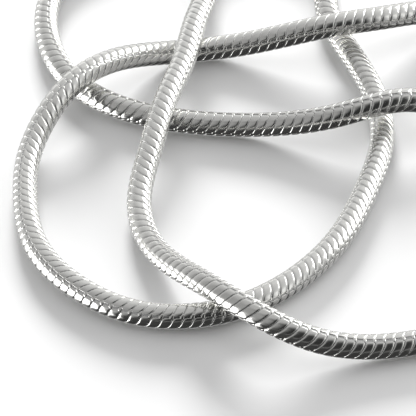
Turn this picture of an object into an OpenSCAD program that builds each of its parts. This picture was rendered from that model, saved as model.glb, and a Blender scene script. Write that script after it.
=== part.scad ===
// Round snake chain for the neck, lying loosely on a surface as one closed loop.
// It crosses itself six times, and a plain barrel clasp joins its two ends.
// Lengths are in millimetres, +Z is up, and the chain lies on the plane Z = 0.

/* [Chain] */
// Outside diameter of the chain
chain_d = 2.5; // [1.5:0.1:3]
// Clear space between two strands where one lies over the other
crossing_gap = 0.2; // [0.15:0.05:0.6]

/* [Clasp] */
// Length of the barrel clasp
clasp_l = 13; // [11:0.5:16]
// Wall of the barrel round its sockets
clasp_wall = 0.6; // [0.3:0.1:1]
// Radius on the barrel's two end edges
clasp_round = 0.4; // [0.1:0.05:0.5]
// Depth that each chain end reaches into the barrel
socket_l = 3; // [2:0.25:4]
// Clear space between a chain end and its socket
socket_gap = 0.05; // [0.02:0.01:0.15]
// Width of the seam round the barrel's middle
seam_w = 0.3; // [0.15:0.05:0.6]
// Depth of the seam round the barrel's middle
seam_depth = 0.12; // [0.05:0.01:0.2]

/* [Tube] */
// Flat sides of the plain tube that stands for the chain's links
tube_sides = 8; // [8:4:12]
// Rings of points along that tube
tube_rings = 80; // [70:1:90]

/* [Hidden] */

$fn = 48;

// The tube's flats touch the chain's own round outline, so its corners stand a little proud
chain_r = chain_d / 2;
tube_corner_r = chain_r / cos(180 / tube_sides);
crossing_lift = chain_d + crossing_gap;

socket_r = tube_corner_r + socket_gap;
clasp_r = socket_r + clasp_wall;

// How far the cutting shapes run past the metal
cut_past = 1;

// Middle of the clasp, as seen from above
CLASP_PLACE = [27.1, 0];

// The chain's route, seen from above, as X, Y and the height in crossings:
// 0 lies on the surface and 1 lies over another strand
ROUTE = [
    // From the clasp round the back to the left
    [26.5, 19, 0], [22, 25, 0], [16.5, 29.5, 0], [10, 32.8, 0], [3, 34.4, 0], [-4, 35, 0],
    [-11, 34.2, 0], [-17.5, 32, 0], [-23, 28.3, 0], [-26, 23, 0],
    // Left strand, under two others, across the middle and over the big loop
    [-27, 16.5, 0], [-25, 8, 0], [-19.5, 2.5, 0], [-12, 0, 0], [-4, -0.5, 0],
    [3.5, -2, 0.8], [10.5, 0.5, 1.35],
    // Turn at the right
    [16.7, 1, 0.25], [22, 3.8, 0], [24, 10, 0], [21.3, 16.2, 0], [15, 18.5, 0.3],
    // Back across, over the big loop and over the left strand
    [9, 14.3, 0.95], [2.5, 12.2, 1.2], [-5, 12.4, 0.2], [-13, 12.4, -0.2],
    [-19, 8, 0.95], [-24, 2.5, 1.3], [-28, -4, 0],
    // Big loop round the front and up the middle
    [-28, -12, 0], [-27, -20, 0], [-22, -26.5, 0], [-15.5, -30.5, 0], [-7, -29.5, 0],
    [-0.5, -24.5, 0], [4, -18, 0], [6.5, -10.5, 0], [8.7, -3, 0], [8, 5, 0],
    [5, 12.5, 0], [2.5, 19, 0],
    // Arch at the back
    [3.5, 24.7, 0], [1.5, 29.6, 0], [-3.4, 31.6, 0], [-8.3, 29.6, 0], [-10.4, 24.7, 0.1],
    // Over two strands and the big loop to the front
    [-9.4, 19.5, 0.6], [-11, 13, 1.25], [-11.8, 6.5, 1.05], [-14, 0, 1.2],
    [-15.3, -6.5, 0.6], [-17, -13, 0], [-15, -21, 0.1], [-10.5, -27.5, 1.05], [-5, -33.5, 1.3],
    // Round the front right to the clasp
    [1.5, -35, 0.2], [8.5, -34.5, 0], [14.5, -32.5, 0], [19.5, -29, 0], [23.5, -24.5, 0],
    [26, -18.5, 0],
];

// Five points in line keep the chain straight along the whole clasp
CLASP_RUN = [
    for (step = [-2 : 1 : 2])
        [CLASP_PLACE.x, CLASP_PLACE.y + step * clasp_l / 2, clasp_r]
];

// Every point that guides the chain's middle line, in millimetres
GUIDES = concat(
    [for (stop = ROUTE) [stop.x, stop.y, chain_r + stop.z * crossing_lift]],
    CLASP_RUN
);

// Places along the middle line are counted in guides, and the loop closes on itself
clasp_at = len(ROUTE) + 2;
end_at = 1 - socket_l / (clasp_l / 2);
tube_from = clasp_at + end_at;
tube_to = clasp_at + len(GUIDES) - end_at;
tube_step = (tube_to - tube_from) / (tube_rings - 1);

// Smooth closed curve near the guides: a uniform cubic B-spline and its slope
function guide(i) = GUIDES[i % len(GUIDES)];
function blend(u, w) =
    let (i = floor(u))
    w[0] * guide(i - 1) + w[1] * guide(i) + w[2] * guide(i + 1) + w[3] * guide(i + 2);
function place_weights(t) =
    [pow(1 - t, 3), 3 * t * t * t - 6 * t * t + 4, -3 * t * t * t + 3 * t * t + 3 * t + 1, t * t * t] / 6;
function slope_weights(t) =
    [-pow(1 - t, 2), 3 * t * t - 4 * t, -3 * t * t + 2 * t + 1, t * t] / 2;
function place(u) = blend(u, place_weights(u - floor(u)));
function unit(v) = v / norm(v);
function heading(u) = unit(blend(u, slope_weights(u - floor(u))));

// One ring of the tube, square to the middle line, with a flat side underneath
function ring(u) =
    let (
        ahead = heading(u),
        across = unit(cross(ahead, [0, 0, 1])),
        upward = cross(across, ahead)
    )
    [
        for (k = [0 : tube_sides - 1])
            let (turn = 360 * (k + 0.5) / tube_sides)
            place(u) + tube_corner_r * (cos(turn) * across + sin(turn) * upward)
    ];

// Corner k of ring j in the tube's list of points
function corner(j, k) = j * tube_sides + k % tube_sides;

// The whole chain as one solid tube, whose ends sit in the clasp's sockets
module snake_chain() {
    last = tube_rings - 1;
    rings = [for (j = [0 : last]) ring(tube_from + j * tube_step)];
    walls = [
        for (j = [0 : last - 1], k = [0 : tube_sides - 1])
            each [
                [corner(j, k), corner(j + 1, k), corner(j + 1, k + 1)],
                [corner(j, k), corner(j + 1, k + 1), corner(j, k + 1)]
            ]
    ];
    first_end = [for (k = [0 : tube_sides - 1]) corner(0, k)];
    last_end = [for (k = [tube_sides - 1 : -1 : 0]) corner(last, k)];
    color("silver")
        polyhedron(points = [for (r = rings) each r], faces = concat(walls, [first_end, last_end]));
}

// Half outline of a round bar with rounded end edges, standing on the X axis
module bar_outline(length, radius, edge) {
    square([radius - edge, length]);
    translate([0, edge]) square([radius, length - 2 * edge]);
    translate([radius - edge, edge]) circle(edge);
    translate([radius - edge, length - edge]) circle(edge);
}

// Plain closed barrel with a socket for the chain at each end and a seam round its middle
module barrel_clasp() {
    socket_depth = socket_l + socket_gap;
    color("gainsboro")
        translate([CLASP_PLACE.x, CLASP_PLACE.y, clasp_r])
            rotate([-90, 0, 0])
                translate([0, 0, -clasp_l / 2])
                    difference() {
                        rotate_extrude() bar_outline(clasp_l, clasp_r, clasp_round);
                        for (mouth = [-cut_past, clasp_l - socket_depth])
                            translate([0, 0, mouth]) cylinder(h = socket_depth + cut_past, r = socket_r);
                        translate([0, 0, (clasp_l - seam_w) / 2])
                            difference() {
                                cylinder(h = seam_w, r = clasp_r + cut_past);
                                cylinder(h = seam_w, r = clasp_r - seam_depth);
                            }
                    }
}

snake_chain();
barrel_clasp();
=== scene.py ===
"""Looks of a round silver snake chain that lies loosely on a pale surface.

Each link of the chain is three curved scales round the chain, each with a narrow neck that reaches
between two scales of the next row. The links follow the same closed route as the solid model's tube.
Lengths in this script are in metres, +Z is up, +Y points away from the camera and +X to its right.
"""
import math

import bpy
import numpy as np
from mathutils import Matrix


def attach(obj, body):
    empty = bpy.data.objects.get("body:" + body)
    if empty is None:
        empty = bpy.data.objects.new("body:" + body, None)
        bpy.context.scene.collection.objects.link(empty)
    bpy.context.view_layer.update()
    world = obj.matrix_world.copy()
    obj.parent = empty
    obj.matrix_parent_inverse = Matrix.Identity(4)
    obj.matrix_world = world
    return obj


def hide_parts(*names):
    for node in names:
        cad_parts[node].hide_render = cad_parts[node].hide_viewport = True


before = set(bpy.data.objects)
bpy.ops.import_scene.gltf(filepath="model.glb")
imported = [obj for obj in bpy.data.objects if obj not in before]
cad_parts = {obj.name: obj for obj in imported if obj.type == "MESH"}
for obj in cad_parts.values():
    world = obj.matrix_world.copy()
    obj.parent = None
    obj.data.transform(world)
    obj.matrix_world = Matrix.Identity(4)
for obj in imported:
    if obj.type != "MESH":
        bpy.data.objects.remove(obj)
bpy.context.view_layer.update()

# The chain's middle line: the same points as in the solid model, as X, Y and height in crossings
CHAIN_R = 0.00125
TUBE_SIDES = 8
CROSSING_LIFT = 0.0027
CLASP_L = 0.013
CLASP_WALL = 0.0006
SOCKET_GAP = 0.00005
SOCKET_L = 0.003
CLASP_X = 0.0271
CLASP_R = CHAIN_R / math.cos(math.pi / TUBE_SIDES) + SOCKET_GAP + CLASP_WALL
ROUTE = [
    # From the clasp round the back to the left
    (0.0265, 0.019, 0), (0.022, 0.025, 0), (0.0165, 0.0295, 0), (0.01, 0.0328, 0), (0.003, 0.0344, 0),
    (-0.004, 0.035, 0), (-0.011, 0.0342, 0), (-0.0175, 0.032, 0), (-0.023, 0.0283, 0), (-0.026, 0.023, 0),
    # Left strand, under two others, across the middle and over the big loop
    (-0.027, 0.0165, 0), (-0.025, 0.008, 0), (-0.0195, 0.0025, 0), (-0.012, 0, 0), (-0.004, -0.0005, 0),
    (0.0035, -0.002, 0.8), (0.0105, 0.0005, 1.35),
    # Turn at the right
    (0.0167, 0.001, 0.25), (0.022, 0.0038, 0), (0.024, 0.01, 0), (0.0213, 0.0162, 0), (0.015, 0.0185, 0.3),
    # Back across, over the big loop and over the left strand
    (0.009, 0.0143, 0.95), (0.0025, 0.0122, 1.2), (-0.005, 0.0124, 0.2), (-0.013, 0.0124, -0.2),
    (-0.019, 0.008, 0.95), (-0.024, 0.0025, 1.3), (-0.028, -0.004, 0),
    # Big loop round the front and up the middle
    (-0.028, -0.012, 0), (-0.027, -0.02, 0), (-0.022, -0.0265, 0), (-0.0155, -0.0305, 0),
    (-0.007, -0.0295, 0), (-0.0005, -0.0245, 0), (0.004, -0.018, 0), (0.0065, -0.0105, 0),
    (0.0087, -0.003, 0), (0.008, 0.005, 0), (0.005, 0.0125, 0), (0.0025, 0.019, 0),
    # Arch at the back
    (0.0035, 0.0247, 0), (0.0015, 0.0296, 0), (-0.0034, 0.0316, 0), (-0.0083, 0.0296, 0),
    (-0.0104, 0.0247, 0.1),
    # Over two strands and the big loop to the front
    (-0.0094, 0.0195, 0.6), (-0.011, 0.013, 1.25), (-0.0118, 0.0065, 1.05), (-0.014, 0, 1.2),
    (-0.0153, -0.0065, 0.6), (-0.017, -0.013, 0), (-0.015, -0.021, 0.1), (-0.0105, -0.0275, 1.05),
    (-0.005, -0.0335, 1.3),
    # Round the front right to the clasp
    (0.0015, -0.035, 0.2), (0.0085, -0.0345, 0), (0.0145, -0.0325, 0), (0.0195, -0.029, 0),
    (0.0235, -0.0245, 0), (0.026, -0.0185, 0),
]
CLASP_RUN = [(CLASP_X, step * CLASP_L / 2, CLASP_R) for step in (-2, -1, 0, 1, 2)]
GUIDES = np.array([(x, y, CHAIN_R + level * CROSSING_LIFT) for x, y, level in ROUTE] + CLASP_RUN)
CLASP_AT = len(ROUTE) + 2
END_AT = 1 - SOCKET_L / (CLASP_L / 2)
LINE_FROM = CLASP_AT + END_AT
LINE_TO = CLASP_AT + len(GUIDES) - END_AT

# How far the grooves between the scales have turned round the chain:
# distance along it from its first end in millimetres, and degrees
TURNS = [
    (0, -15), (110, -15), (114, -10), (118, 0), (124, 10), (128, 15), (132, 20), (167, 25), (173, 45),
    (180, 55), (192, 65), (201, 75), (204, 90), (206, 105), (209, 120), (211, 130), (215, 140),
    (221, 150), (227, 155), (233, 160), (238, 170), (250, 175), (257, 195), (264, 195), (271, 190),
    (279, 190), (283, 205), (287, 200), (293, 170), (301, 165), (347, 180), (366, 180), (369, 185),
    (373, 195), (377, 215), (379, 230), (382, 245), (389, 235), (395, 235), (403, 245), (405, 255),
    (407, 260), (450, 260),
]
TURN_PLACES = np.array([mm * 0.001 for mm, degrees in TURNS])
TURN_ANGLES = np.array([degrees for mm, degrees in TURNS])
TURN_REACH = 0.002


def spline(u):
    """Points and headings of the closed cubic B-spline through the guides' neighbourhood."""
    i = np.floor(u).astype(int)
    t = (u - i)[:, None]
    weights = [(1 - t) ** 3, 3 * t ** 3 - 6 * t ** 2 + 4, -3 * t ** 3 + 3 * t ** 2 + 3 * t + 1, t ** 3]
    slopes = [-(1 - t) ** 2, 3 * t ** 2 - 4 * t, -3 * t ** 2 + 2 * t + 1, t ** 2]
    near = [GUIDES[(i + k - 1) % len(GUIDES)] for k in range(4)]
    place = sum(w / 6 * g for w, g in zip(weights, near))
    slope = sum(w / 2 * g for w, g in zip(slopes, near))
    return place, slope / np.linalg.norm(slope, axis=1)[:, None]


# Distance along the middle line, counted up in fine steps between the chain's two ends
FINE_STEPS = 30000
fine_places = np.linspace(LINE_FROM, LINE_TO, FINE_STEPS + 1)
fine_lengths = np.linalg.norm(np.diff(spline(fine_places)[0], axis=0), axis=1)
fine_along = np.concatenate([[0], np.cumsum(fine_lengths)])
LINE_L = fine_along[-1]


def on_chain(along, turn, radius):
    """Points at distances along the chain, angles round it from the top, and radii."""
    place, ahead = spline(np.interp(along, fine_along, fine_places))
    side = np.cross(ahead, (0, 0, 1))
    side /= np.linalg.norm(side, axis=1)[:, None]
    upward = np.cross(side, ahead)
    return place + radius[:, None] * (np.cos(turn)[:, None] * upward + np.sin(turn)[:, None] * side)


def groove_turn(along):
    """Turn of the grooves round the chain, smoothed over a few links."""
    reach = np.linspace(-TURN_REACH, TURN_REACH, 7)
    mean = np.mean([np.interp(along + r, TURN_PLACES, TURN_ANGLES) for r in reach], axis=0)
    return np.radians(mean)


# One scale, laid out flat: X along the chain and Y round it from the scale's rounded end
FIRST_LINK_AT = 0.0002
PITCH = 0.00096
ROWS = 3
ROW_W = 2 * math.pi * CHAIN_R / ROWS
SCALE_HALF = 0.000465
SCALE_W = 0.0024
ROUND_END = 0.00026
SQUARE_END = 0.00012
EDGE_W = 0.0002
EDGE_DROP = 0.00007
ROUND_END_DROP = 0.5
CROWN = 0.00001
# The scale leans back along the chain, more and more towards its square end
SLANT = 0.25
SLANT_GAIN = 90.0
# The neck: its place, its half length and half width, and how far its sides drop
NECK_AT = -0.00046
NECK_MID = 0.00248
NECK_REACH = 0.00032
NECK_HALF = 0.0002
NECK_DROP = 0.00007
NECK_TIP = 0.45
# The wall under the links, and the depth that the sides of scales and necks reach
CORE_R = 0.00118
SKIRT_R = 0.00116
# How far the links stay from the chain's two ends, and how unevenly they are rolled round it
END_CLEAR = 0.00005
ROLL_SPREAD = 0.004
ROLL_SEED = 7


def half_width(y):
    """Half of the scale's width along the chain, at a distance from its rounded end."""
    if y < ROUND_END:
        return SCALE_HALF - ROUND_END + math.sqrt(max(ROUND_END ** 2 - (ROUND_END - y) ** 2, 0))
    left = SCALE_W - y
    if left < SQUARE_END:
        return SCALE_HALF - SQUARE_END + math.sqrt(max(SQUARE_END ** 2 - (SQUARE_END - left) ** 2, 0))
    return SCALE_HALF


def inset(x, y):
    """Distance from a point of the scale to its nearest sloping edge. Its square end has none."""
    if y < ROUND_END:
        return ROUND_END - math.hypot(max(abs(x) - (SCALE_HALF - ROUND_END), 0), ROUND_END - y)
    return half_width(y) - abs(x)


def grid_faces(columns, rows):
    """Faces of a grid, then of the skirt round it, whose corners follow the grid's own."""
    def at(i, j):
        return j * columns + i
    faces = [
        (at(i, j), at(i + 1, j), at(i + 1, j + 1), at(i, j + 1))
        for j in range(rows - 1) for i in range(columns - 1)
    ]
    rim = [at(i, 0) for i in range(columns)]
    rim += [at(columns - 1, j) for j in range(1, rows)]
    rim += [at(i, rows - 1) for i in range(columns - 2, -1, -1)]
    rim += [at(0, j) for j in range(rows - 2, 0, -1)]
    first = columns * rows
    for k in range(len(rim)):
        after = (k + 1) % len(rim)
        faces.append((rim[k], first + k, first + after, rim[after]))
    return faces, rim


def with_skirt(points, columns, rows):
    """Adds the skirt's lower corners to a grid of (x, y, radius) points."""
    faces, rim = grid_faces(columns, rows)
    lower = [(points[k][0], points[k][1], SKIRT_R) for k in rim]
    return np.array(points + lower), faces


def scale_shape():
    """The curved plate, with a slight crown and edges that slope down, except at its square end."""
    across = (-1, -0.86, -0.72, -0.5, 0, 0.5, 0.72, 0.86, 1)
    down = [0, 0.00004, 0.0001, 0.00018, 0.0003, 0.0006, 0.00095, 0.0013, 0.00165, 0.002]
    down += [SCALE_W - 0.00018, SCALE_W - 0.0001, SCALE_W - 0.00003, SCALE_W]
    points = []
    for y in down:
        half = half_width(y)
        for share in across:
            x = share * half
            q = min(max(1 - inset(x, y) / EDGE_W, 0), 1)
            depth = EDGE_DROP * (ROUND_END_DROP + (1 - ROUND_END_DROP) * min(y / ROUND_END, 1))
            drop = depth * q * q + CROWN * (x / SCALE_HALF) ** 2
            points.append((x, y, CHAIN_R - drop))
    return with_skirt(points, len(across), len(down))


def neck_shape():
    """The rounded neck at the scale's square end, which reaches between two scales of the next row."""
    points = []
    lengthwise = (-1, -0.85, -0.55, 0, 0.5, 0.8, 1)
    crosswise = (-1, -0.8, -0.4, 0, 0.4, 0.8, 1)
    for along in lengthwise:
        for across in crosswise:
            bulge = math.sqrt(max(1 - along ** 2, 0))
            x = NECK_AT + across * NECK_HALF * (NECK_TIP + (1 - NECK_TIP) * bulge)
            drop = NECK_DROP * (1 - bulge * math.sqrt(1 - across ** 2))
            points.append((x, NECK_MID + along * NECK_REACH, CHAIN_R - drop))
    return with_skirt(points, len(crosswise), len(lengthwise))


def shift(y):
    """How far a scale's middle has moved back along the chain, at a distance from its rounded end."""
    near = np.minimum(y, SCALE_W)
    return SLANT * near + SLANT_GAIN * near ** 2


def make_piece(name, points, faces, material, recess):
    """A smooth mesh object, with a value at each corner for how deep it lies in the chain."""
    mesh = bpy.data.meshes.new(name)
    mesh.vertices.add(len(points))
    mesh.vertices.foreach_set("co", points.astype(np.float32).ravel())
    mesh.loops.add(faces.size)
    mesh.loops.foreach_set("vertex_index", faces.astype(np.int32).ravel())
    mesh.polygons.add(len(faces))
    mesh.polygons.foreach_set("loop_start", np.arange(0, faces.size, faces.shape[1], dtype=np.int32))
    mesh.polygons.foreach_set("use_smooth", np.ones(len(faces), bool))
    mesh.update(calc_edges=True)
    mesh.validate()
    depth = mesh.attributes.new("recess", "FLOAT", "POINT")
    depth.data.foreach_set("value", recess.astype(np.float32))
    piece = bpy.data.objects.new(name, mesh)
    bpy.context.scene.collection.objects.link(piece)
    mesh.materials.append(material)
    return piece


def chain_links(first, last, rng):
    """Corners, faces and depths of the links numbered first to last, as flat arrays."""
    shapes = (scale_shape(), neck_shape())
    corners, faces, total = [], [], 0
    for link in range(first, last):
        for row in range(ROWS):
            start = FIRST_LINK_AT + link * PITCH
            roll = rng.normal(0, ROLL_SPREAD)
            for shape, shape_faces in shapes:
                along = start + shape[:, 0] - shift(shape[:, 1])
                if along.min() < END_CLEAR or along.max() > LINE_L - END_CLEAR:
                    continue
                turn = (row * ROW_W + shape[:, 1]) / CHAIN_R + roll
                corners.append(np.stack([along, turn, shape[:, 2]], 1))
                faces.append(np.array(shape_faces) + total)
                total += len(shape)
    corners = np.concatenate(corners)
    along = corners[:, 0]
    # The grooves' own line lies in the middle of the space between two rows
    turn = corners[:, 1] + groove_turn(along) + (ROW_W - SCALE_W) / 2 / CHAIN_R
    points = on_chain(along, turn, corners[:, 2])
    # How deep each corner lies; the chain's material paints shade into the recesses by it
    recess = np.clip((CHAIN_R - corners[:, 2]) / (CHAIN_R - CORE_R), 0, 1)
    return points, np.concatenate(faces), recess


def node(tree, kind, x, y, **values):
    """A new shader node with some of its settings or inputs filled in."""
    made = tree.nodes.new(kind)
    made.location = (x, y)
    for name, value in values.items():
        if name in made.inputs:
            made.inputs[name].default_value = value
        else:
            setattr(made, name, value)
    return made


def chain_silver():
    """Polished silver with fine wear, and painted shade: a greyer base colour in the recesses between the
    scales.
    """
    material = bpy.data.materials.new("chain_silver")
    material.use_nodes = True
    tree = material.node_tree
    tree.nodes.clear()
    link = tree.links.new
    out = node(tree, "ShaderNodeOutputMaterial", 900, 0)
    shader = node(tree, "ShaderNodeBsdfPrincipled", 600, 0)
    shader.inputs["Metallic"].default_value = 1.0
    link(shader.outputs["BSDF"], out.inputs["Surface"])
    # Painted shade: the base colour turns greyer towards the deepest corners, in the recesses between the
    # scales
    depth = node(tree, "ShaderNodeAttribute", -900, 200, attribute_name="recess")
    recess_shade = node(tree, "ShaderNodeMapRange", -700, 200, interpolation_type="SMOOTHSTEP")
    recess_shade.inputs["From Min"].default_value = 0.5
    recess_shade.inputs["From Max"].default_value = 1.0
    link(depth.outputs["Fac"], recess_shade.inputs["Value"])
    place = node(tree, "ShaderNodeTexCoord", -1100, -200)
    cloud = node(tree, "ShaderNodeTexNoise", -700, -50)
    cloud.inputs["Scale"].default_value = 900
    cloud.inputs["Detail"].default_value = 4
    link(place.outputs["Object"], cloud.inputs["Vector"])
    tint = node(tree, "ShaderNodeMix", -300, 200, data_type="RGBA")
    tint.inputs["A"].default_value = (0.90, 0.895, 0.875, 1)
    tint.inputs["B"].default_value = (0.83, 0.83, 0.80, 1)
    link(cloud.outputs["Fac"], tint.inputs["Factor"])
    # Painted shade: the recesses' grey mixed over the silver's worn tint
    wear_tint_and_painted_shade = node(tree, "ShaderNodeMix", 0, 200, data_type="RGBA")
    wear_tint_and_painted_shade.inputs["B"].default_value = (0.75, 0.75, 0.74, 1)
    link(recess_shade.outputs["Result"], wear_tint_and_painted_shade.inputs["Factor"])
    link(tint.outputs["Result"], wear_tint_and_painted_shade.inputs["A"])
    link(wear_tint_and_painted_shade.outputs["Result"], shader.inputs["Base Color"])
    gloss = node(tree, "ShaderNodeMapRange", -300, -50)
    gloss.inputs["To Min"].default_value = 0.12
    gloss.inputs["To Max"].default_value = 0.22
    link(cloud.outputs["Fac"], gloss.inputs["Value"])
    rough = node(tree, "ShaderNodeMath", 0, -50, operation="MULTIPLY_ADD")
    rough.inputs[1].default_value = 0.04
    link(recess_shade.outputs["Result"], rough.inputs[0])
    link(gloss.outputs["Result"], rough.inputs[2])
    link(rough.outputs["Value"], shader.inputs["Roughness"])
    grain = node(tree, "ShaderNodeTexNoise", -300, -350)
    grain.inputs["Scale"].default_value = 6000
    grain.inputs["Detail"].default_value = 3
    link(place.outputs["Object"], grain.inputs["Vector"])
    bump = node(tree, "ShaderNodeBump", 0, -350)
    bump.inputs["Strength"].default_value = 0.05
    bump.inputs["Distance"].default_value = 0.00002
    link(grain.outputs["Fac"], bump.inputs["Height"])
    link(bump.outputs["Normal"], shader.inputs["Normal"])
    return material


def clasp_silver():
    """Polished silver turned on a lathe: fine rings round the barrel, and light wear."""
    material = bpy.data.materials.new("clasp_silver")
    material.use_nodes = True
    tree = material.node_tree
    tree.nodes.clear()
    link = tree.links.new
    out = node(tree, "ShaderNodeOutputMaterial", 900, 0)
    shader = node(tree, "ShaderNodeBsdfPrincipled", 600, 0)
    shader.inputs["Metallic"].default_value = 1.0
    link(shader.outputs["BSDF"], out.inputs["Surface"])
    place = node(tree, "ShaderNodeTexCoord", -1100, 0)
    stretch = node(tree, "ShaderNodeMapping", -900, 0)
    stretch.inputs["Scale"].default_value = (60, 9000, 60)
    link(place.outputs["Object"], stretch.inputs["Vector"])
    rings = node(tree, "ShaderNodeTexNoise", -700, 0)
    rings.inputs["Scale"].default_value = 1
    rings.inputs["Detail"].default_value = 5
    link(stretch.outputs["Vector"], rings.inputs["Vector"])
    cloud = node(tree, "ShaderNodeTexNoise", -700, 250)
    cloud.inputs["Scale"].default_value = 500
    cloud.inputs["Detail"].default_value = 4
    link(place.outputs["Object"], cloud.inputs["Vector"])
    tint = node(tree, "ShaderNodeMix", 0, 250, data_type="RGBA")
    tint.inputs["A"].default_value = (0.90, 0.895, 0.88, 1)
    tint.inputs["B"].default_value = (0.82, 0.82, 0.795, 1)
    link(cloud.outputs["Fac"], tint.inputs["Factor"])
    link(tint.outputs["Result"], shader.inputs["Base Color"])
    gloss = node(tree, "ShaderNodeMapRange", 0, 0)
    gloss.inputs["To Min"].default_value = 0.13
    gloss.inputs["To Max"].default_value = 0.28
    link(rings.outputs["Fac"], gloss.inputs["Value"])
    link(gloss.outputs["Result"], shader.inputs["Roughness"])
    bump = node(tree, "ShaderNodeBump", 0, -300)
    bump.inputs["Strength"].default_value = 0.12
    bump.inputs["Distance"].default_value = 0.00003
    link(rings.outputs["Fac"], bump.inputs["Height"])
    link(bump.outputs["Normal"], shader.inputs["Normal"])
    return material


# Camera at the photograph's angle: it looks back along +Y and down by 40 degrees
AIM = (-0.0095, -0.012, 0.0)
CAMERA_ELEVATION = math.radians(40)
CAMERA_FAR = 0.45
VIEW_W = 0.04181
SENSOR = 36.0
lens = bpy.data.cameras.new("camera")
lens.sensor_width = SENSOR
lens.lens = SENSOR * CAMERA_FAR / VIEW_W
lens.clip_start = 0.01
lens.clip_end = 20
camera = bpy.data.objects.new("camera", lens)
camera.location = (
    AIM[0],
    AIM[1] - CAMERA_FAR * math.cos(CAMERA_ELEVATION),
    AIM[2] + CAMERA_FAR * math.sin(CAMERA_ELEVATION),
)
camera.rotation_euler = (math.pi / 2 - CAMERA_ELEVATION, 0, 0)
bpy.context.scene.collection.objects.link(camera)
bpy.context.scene.camera = camera
bpy.context.scene.view_settings.view_transform = "Standard"

# The chain's links, in stretches of a size that other programs can load
silver = chain_silver()
rng = np.random.default_rng(ROLL_SEED)
LINKS = int(LINE_L / PITCH) + ROWS
STRETCHES = 5
for part in range(STRETCHES):
    first = part * LINKS // STRETCHES
    last = (part + 1) * LINKS // STRETCHES
    points, faces, recess = chain_links(first, last, rng)
    piece = make_piece(f"chain_links_{part + 1}", points, faces, silver, recess)
    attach(piece, "root")
    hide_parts("snake_chain")

# The links' inner faces, as one closed wall under the scales, in the full painted shade grey
CORE_SIDES = 20
CORE_STEP = 0.0008
END_HOLE_R = 0.00001
rings_at = np.linspace(0, LINE_L, int(LINE_L / CORE_STEP))
rings_at = np.concatenate([[0], rings_at, [LINE_L]])
ring_radii = np.concatenate([[END_HOLE_R], np.full(len(rings_at) - 2, CORE_R), [END_HOLE_R]])
core_rings = len(rings_at)
turns = np.tile(np.arange(CORE_SIDES) * 2 * math.pi / CORE_SIDES, core_rings)
points = on_chain(np.repeat(rings_at, CORE_SIDES), turns, np.repeat(ring_radii, CORE_SIDES))
quads = [
    (j * CORE_SIDES + k, j * CORE_SIDES + (k + 1) % CORE_SIDES,
     (j + 1) * CORE_SIDES + (k + 1) % CORE_SIDES, (j + 1) * CORE_SIDES + k)
    for j in range(core_rings - 1) for k in range(CORE_SIDES)
]
# Depth 1 at every corner, so the material paints the whole wall in its shade grey
core = make_piece("chain_inner_wall", points, np.array(quads), silver, np.ones(len(points)))
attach(core, "root")
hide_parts("snake_chain")

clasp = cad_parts["barrel_clasp"]
clasp_metal = clasp_silver()
clasp.data.materials.clear()
clasp.data.materials.append(clasp_metal)
for face in clasp.data.polygons:
    face.material_index = 0

# Plain pale floor
floor_mesh = bpy.data.meshes.new("floor")
FLOOR_HALF = 3.0
floor_mesh.from_pydata(
    [(x * FLOOR_HALF, y * FLOOR_HALF, 0) for x, y in ((-1, -1), (1, -1), (1, 1), (-1, 1))],
    [],
    [(0, 1, 2, 3)],
)
floor = bpy.data.objects.new("floor", floor_mesh)
bpy.context.scene.collection.objects.link(floor)
paper = bpy.data.materials.new("floor")
paper.use_nodes = True
paper_shader = paper.node_tree.nodes["Principled BSDF"]
paper_shader.inputs["Base Color"].default_value = (0.9, 0.9, 0.9, 1)
paper_shader.inputs["Roughness"].default_value = 0.9
paper_shader.inputs["Specular IOR Level"].default_value = 0.0
floor_mesh.materials.append(paper)
floor.visible_glossy = False

# Soft studio surround. Each card is azimuth (0 at the back, 90 at the right), elevation, half width,
# half height, softness of its edge, all in degrees, and brightness. Later cards cover earlier ones.
CARDS = [
    (0, -15, 70, 28, 20, 0.66),
    (28, 32, 38, 30, 26, 0.74),
    (0, 8, 34, 10, 8, 0.95),
    (180, -50, 44, 58, 20, 0.04),
    (176, 30, 44, 36, 14, 0.10),
    (176, 26, 34, 30, 12, 0.03),
    (-152, -34, 18, 22, 8, 0.05),
    (172, -10, 24, 5, 4, 0.14),
    (96, -15, 25, 32, 12, 0.36),
    (92, 32, 26, 20, 12, 0.62),
    (-118, 40, 40, 26, 14, 0.34),
    (-91, -22, 28, 23, 7, 3.0),
    (50, 15, 24, 23, 6, 3.0),
    (108, 14, 7, 22, 6, 0.95),
]
SURROUND = 0.47
world = bpy.data.worlds.new("studio")
bpy.context.scene.world = world
world.use_nodes = True
sky = world.node_tree
sky.nodes.clear()


def dot(vector, axis):
    """Dot product of a direction with a fixed axis, as nodes."""
    made = node(sky, "ShaderNodeVectorMath", 0, 0, operation="DOT_PRODUCT")
    sky.links.new(vector, made.inputs[0])
    made.inputs[1].default_value = axis
    return made.outputs["Value"]


def sky_math(operation, *values):
    """One sum or other step of arithmetic, as a node."""
    made = node(sky, "ShaderNodeMath", 0, 0, operation=operation)
    for k, value in enumerate(values):
        if isinstance(value, (int, float)):
            made.inputs[k].default_value = value
        else:
            sky.links.new(value, made.inputs[k])
    return made.outputs["Value"]


def inside(angle, half, soft):
    """1 inside a card's edge and 0 outside it, with a soft step between."""
    made = node(sky, "ShaderNodeMapRange", 0, 0, interpolation_type="SMOOTHSTEP")
    made.inputs["From Min"].default_value = math.radians(half + soft)
    made.inputs["From Max"].default_value = math.radians(half - soft)
    sky.links.new(sky_math("ABSOLUTE", angle), made.inputs["Value"])
    return made.outputs["Result"]


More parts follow.
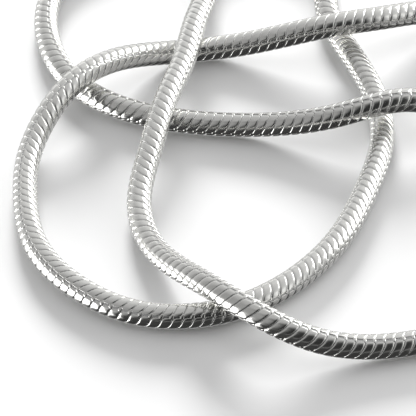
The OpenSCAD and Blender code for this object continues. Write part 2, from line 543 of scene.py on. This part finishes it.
direction = node(sky, "ShaderNodeTexCoord", -400, 0).outputs["Generated"]
light = SURROUND
for azimuth, elevation, half_w, half_h, soft, level in CARDS:
    a = math.radians(azimuth)
    e = math.radians(elevation)
    out = np.array([math.sin(a) * math.cos(e), math.cos(a) * math.cos(e), math.sin(e)])
    right = np.array([math.cos(a), -math.sin(a), 0.0])
    up = np.cross(right, out)
    sideways = sky_math("ARCTAN2", dot(direction, right), dot(direction, out))
    upward = sky_math("ARCSINE", dot(direction, up))
    mask = sky_math("MULTIPLY", inside(sideways, half_w, soft), inside(upward, half_h, soft))
    gain = sky_math("SUBTRACT", level, light)
    light = sky_math("MULTIPLY_ADD", mask, gain, light)
background = node(sky, "ShaderNodeBackground", 800, 0)
sky.links.new(light, background.inputs["Color"])
world_out = node(sky, "ShaderNodeOutputWorld", 1000, 0)
sky.links.new(background.outputs["Background"], world_out.inputs["Surface"])

# Wide soft light from above, for the floor
FILL_D = 1.6
FILL_HEIGHT = 1.0
FILL_WATTS = 2.2
fill_data = bpy.data.lights.new("fill", "AREA")
fill_data.shape = "DISK"
fill_data.size = FILL_D
fill_data.energy = FILL_WATTS
fill = bpy.data.objects.new("fill", fill_data)
fill.location = (0, 0, FILL_HEIGHT)
fill.visible_glossy = False
bpy.context.scene.collection.objects.link(fill)

# Key light from behind the chain, low and soft
KEY_AZIMUTH = math.radians(-4)
KEY_ELEVATION = math.radians(19)
KEY_FAR = 0.8
KEY_D = 0.26
KEY_WATTS = 11.0
key_data = bpy.data.lights.new("key", "AREA")
key_data.shape = "DISK"
key_data.size = KEY_D
key_data.energy = KEY_WATTS
key = bpy.data.objects.new("key", key_data)
key.location = (
    KEY_FAR * math.sin(KEY_AZIMUTH) * math.cos(KEY_ELEVATION),
    KEY_FAR * math.cos(KEY_AZIMUTH) * math.cos(KEY_ELEVATION),
    KEY_FAR * math.sin(KEY_ELEVATION),
)
key.rotation_euler = (math.pi / 2 - KEY_ELEVATION, 0, math.pi - KEY_AZIMUTH)
key.visible_glossy = False
bpy.context.scene.collection.objects.link(key)
